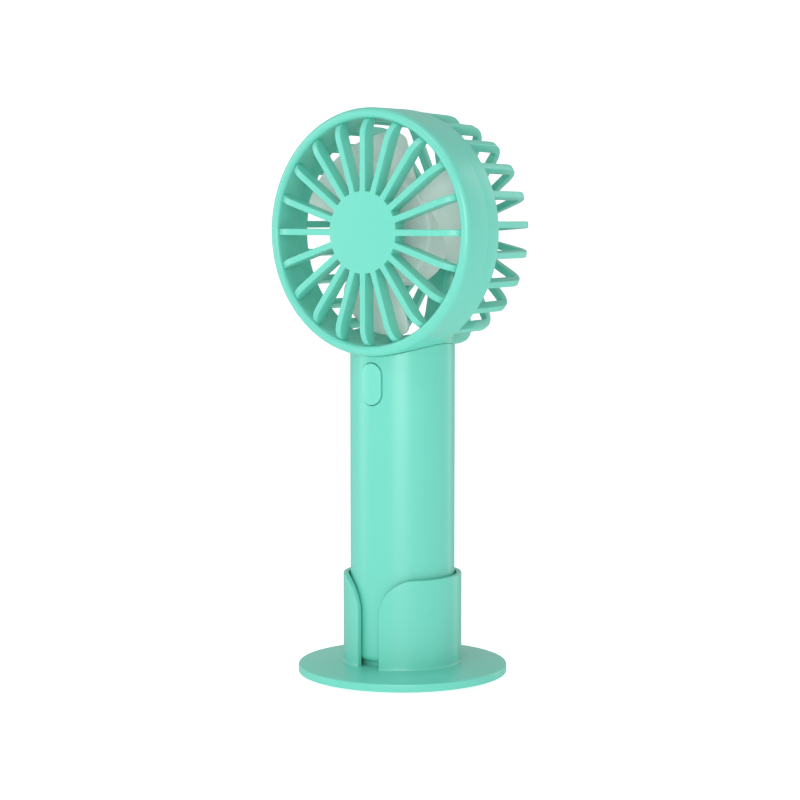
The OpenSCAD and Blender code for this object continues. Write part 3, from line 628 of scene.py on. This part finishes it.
rotor = {
    "hubOut": 21.2, "hubFront": -11.5, "hubBack": 3.5, "hubEdge": 1.6,
    "wall": 1.6, "face": 2, "boss": 4, "bore": 1.0, "boreFloor": 1.5,
    "blades": 3, "middle": 130.0, "tip": 40.5, "midY": -5.0, "rise": 12.0, "curl": 4.5, "camber": 0.4,
    "thickness": 1.3, "thinEdge": 0.55, "tailCorner": 5.0, "noseCorner": 3.5, "span": 74,
    "nose": [(20, 32), (25, 34), (30, 35.5), (34, 36.7), (38, 37.2), (40.5, 36.8)],
    "tail": [(20, -45), (24, -42.5), (28, -40.8), (33, -39), (37, -37.6), (40.5, -36.2)],
}


def impellerHub(s):
    # a drum with a closed front and a bored boss, carried round the head's axis
    front, back, inner = s["hubFront"], s["hubBack"], s["hubOut"] - s["wall"]
    floor, boreEnd = front + s["face"], front + s["boreFloor"]
    outline = [(0, front), (s["hubOut"], front), (s["hubOut"], back), (inner, back), (inner, floor),
               (s["boss"], floor), (s["boss"], back), (s["bore"], back), (s["bore"], boreEnd), (0, boreEnd)]
    return revolve(roundCorners(outline, [0, s["hubEdge"], 0.3, 0.3, 0.8, 0.5, 0.3, 0, 0, 0], 6), "y", 128)


def bladeSkin(s, middle):
    # y falls with the angle from the blade's middle line and curls back with its square;
    # the blade's two edges are given as (radius, angle) points
    m, n = 49, 61
    v = (1 - np.cos(np.linspace(0, np.pi, m))) / 2
    v = np.linspace(0, 1, m) * 0.35 + v * 0.65
    u = (1 - np.cos(np.linspace(0, np.pi, n))) / 2
    u = np.linspace(0, 1, n) * 0.3 + u * 0.7
    uu, vv = np.meshgrid(u, v)
    root = s["hubOut"] - 0.8
    arcLength = turn(s["span"]) * s["tip"]

    def corner(distance, size):
        return size * (1 - np.sqrt(1 - np.clip(1 - distance / size, 0, 1) ** 2))

    tip = s["tip"] - corner(uu * arcLength, s["tailCorner"]) - corner((1 - uu) * arcLength, s["noseCorner"])
    r = root + (tip - root) * vv
    nose = np.interp(r, *zip(*s["nose"]))
    tail = np.interp(r, *zip(*s["tail"]))
    angle = turn(middle + tail + (nose - tail) * uu)
    w = angle - turn(middle)
    bow = s["camber"] * (1 - (2 * uu - 1) ** 2) * (0.4 + 0.6 * vv)
    y = s["midY"] - s["rise"] * w + s["curl"] * w ** 2 - bow
    # thickness fades to a round edge near the sides and the tip
    fromSide = np.minimum(uu, 1 - uu) * arcLength * (r / s["tip"])
    fromTip = (1 - vv) * (s["tip"] - root)
    near = np.clip(np.minimum(fromSide, fromTip) / s["thinEdge"], 0, 1)
    thick = s["thickness"] / 2 * np.sqrt(1 - (1 - near) ** 2) * (1 - 0.3 * vv)
    front = np.stack([r * np.cos(angle), y - thick, headZ + r * np.sin(angle)], -1)
    back = np.stack([r * np.cos(angle), y + thick, headZ + r * np.sin(angle)], -1)
    verts = np.concatenate([front.reshape(-1, 3), back.reshape(-1, 3)])
    f = gridFaces(m, n)
    k = np.arange(n - 1)
    rootStrip = np.stack([k, k + 1, k + 1 + m * n, k + m * n], -1)
    return outward(verts, np.concatenate([f, f[:, ::-1] + m * n, rootStrip[:, ::-1]]))


makePiece("impeller", [impellerHub(rotor), *[bladeSkin(rotor, rotor["middle"] + 360 / rotor["blades"] * k)
                                             for k in range(rotor["blades"])]],
          milkyPlastic, "rotor", ["impeller"], sharp=60)
print("impeller made")


# the inner pieces keep their CAD shape and get their own finish

innerFinishes = {
    "foot_pad": padRubber, "battery_door": mintPlastic, "carrier": palePlastic, "battery_cell": cellWrap,
    "contact_spring": platedSteel, "contact_plate": platedSteel, "circuit_board": boardMask,
    "board_screws": platedSteel, "charge_socket": platedSteel, "charge_light": lightPlastic,
    "tact_switch": magnetFerrite, "switch_plunger": palePlastic, "neck_screws": platedSteel,
    "motor_can": motorSteel, "motor_end_cap": palePlastic, "motor_bushes": turnedBrass,
    "motor_magnets": magnetFerrite, "motor_core": windingCopper, "motor_shaft": platedSteel,
    "motor_screws": platedSteel, "motor_terminals": turnedBrass, "motor_leads": leadSleeve,
}
for node, finish in innerFinishes.items():
    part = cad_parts[node]
    part.data.materials.clear()
    part.data.materials.append(finish)
print("inner pieces finished")


# floor, light and camera

studio = {
    "azimuth": 36.09, "pitch": 5.10, "distance": 0.8398, "lens": 95.0, "aimZ": 0.10903, "aimRight": -0.001007,
    "world": 0.5, "floorGlow": 0.5, "frontPower": 6.5, "keyPower": 2.6, "rimPower": 1.2, "upperPower": 2.5,
}


def studioFloor():
    # one sheet that runs flat and then curves up behind the object
    across = np.linspace(-3, 3, 3)
    along = np.concatenate([np.linspace(-3, 1.6, 8), 1.6 + 0.8 * np.sin(np.linspace(0.15, np.pi / 2, 12))])
    up = np.concatenate([np.zeros(8), 0.8 * (1 - np.cos(np.linspace(0.15, np.pi / 2, 12)))])
    along, up = np.append(along, 2.4), np.append(up, 3.5)
    a = radians(studio["azimuth"])
    g, h = np.meshgrid(across, along)
    z = np.broadcast_to(up[:, None], g.shape)
    v = np.stack([g * np.cos(a) - h * np.sin(a), g * np.sin(a) + h * np.cos(a), z - 0.00002], -1)
    material, nodes, links, shader = newMaterial("paleFloor")
    shader.inputs["Base Color"].default_value = (0.93, 0.93, 0.93, 1)
    shader.inputs["Roughness"].default_value = 0.6
    shader.inputs["Emission Color"].default_value = (1, 1, 1, 1)
    shader.inputs["Emission Strength"].default_value = studio["floorGlow"]
    mesh = bpy.data.meshes.new("studioFloor")
    mesh.from_pydata(v.reshape(-1, 3), [], gridFaces(*g.shape).tolist())
    mesh.polygons.foreach_set("use_smooth", np.ones(len(mesh.polygons), bool))
    mesh.materials.append(material)
    floor = bpy.data.objects.new("studioFloor", mesh)
    bpy.context.scene.collection.objects.link(floor)
    floor.visible_glossy = False


def softBox(name, azimuth, elevation, distance, width, height, power):
    # a soft panel that faces the middle of the object from a given direction
    a, e = radians(studio["azimuth"] + azimuth), radians(elevation)
    away = Vector((np.sin(a) * np.cos(e), -np.cos(a) * np.cos(e), np.sin(e)))
    light = bpy.data.lights.new(name, "AREA")
    light.shape, light.size, light.size_y, light.energy = "RECTANGLE", width, height, power
    lamp = bpy.data.objects.new(name, light)
    lamp.location = Vector((0, 0, 0.12)) + away * distance
    lamp.rotation_euler = away.to_track_quat("Z", "Y").to_euler()
    bpy.context.scene.collection.objects.link(lamp)


def studioCamera():
    # the camera looks back along a direction given by its azimuth and pitch
    a, p = radians(studio["azimuth"]), radians(studio["pitch"])
    right = Vector((np.cos(a), np.sin(a), 0))
    back = Vector((np.sin(a) * np.cos(p), -np.cos(a) * np.cos(p), np.sin(p)))
    camera = bpy.data.objects.new("camera", bpy.data.cameras.new("camera"))
    camera.data.lens, camera.data.sensor_width = studio["lens"], 36
    camera.data.clip_start = 0.01
    camera.location = Vector((0, 0, studio["aimZ"])) + right * studio["aimRight"] + back * studio["distance"]
    camera.rotation_euler = back.to_track_quat("Z", "Y").to_euler()
    bpy.context.scene.collection.objects.link(camera)
    bpy.context.scene.camera = camera


studioFloor()
softBox("frontPanel", -4, 8, 1.3, 0.7, 0.7, studio["frontPower"])
softBox("upperPanel", -30, 55, 1.2, 0.8, 0.3, studio["upperPower"])
softBox("keyPanel", -95, 12, 1.1, 0.4, 1.0, studio["keyPower"])
softBox("rightRim", 124, 8, 1.0, 0.3, 1.0, studio["rimPower"])
world = bpy.data.worlds.new("studio")
world.use_nodes = True
world.node_tree.nodes["Background"].inputs["Color"].default_value = (1, 1, 1, 1)
world.node_tree.nodes["Background"].inputs["Strength"].default_value = studio["world"]
bpy.context.scene.world = world
bpy.context.scene.view_settings.view_transform = "Standard"
studioCamera()
print("studio ready")
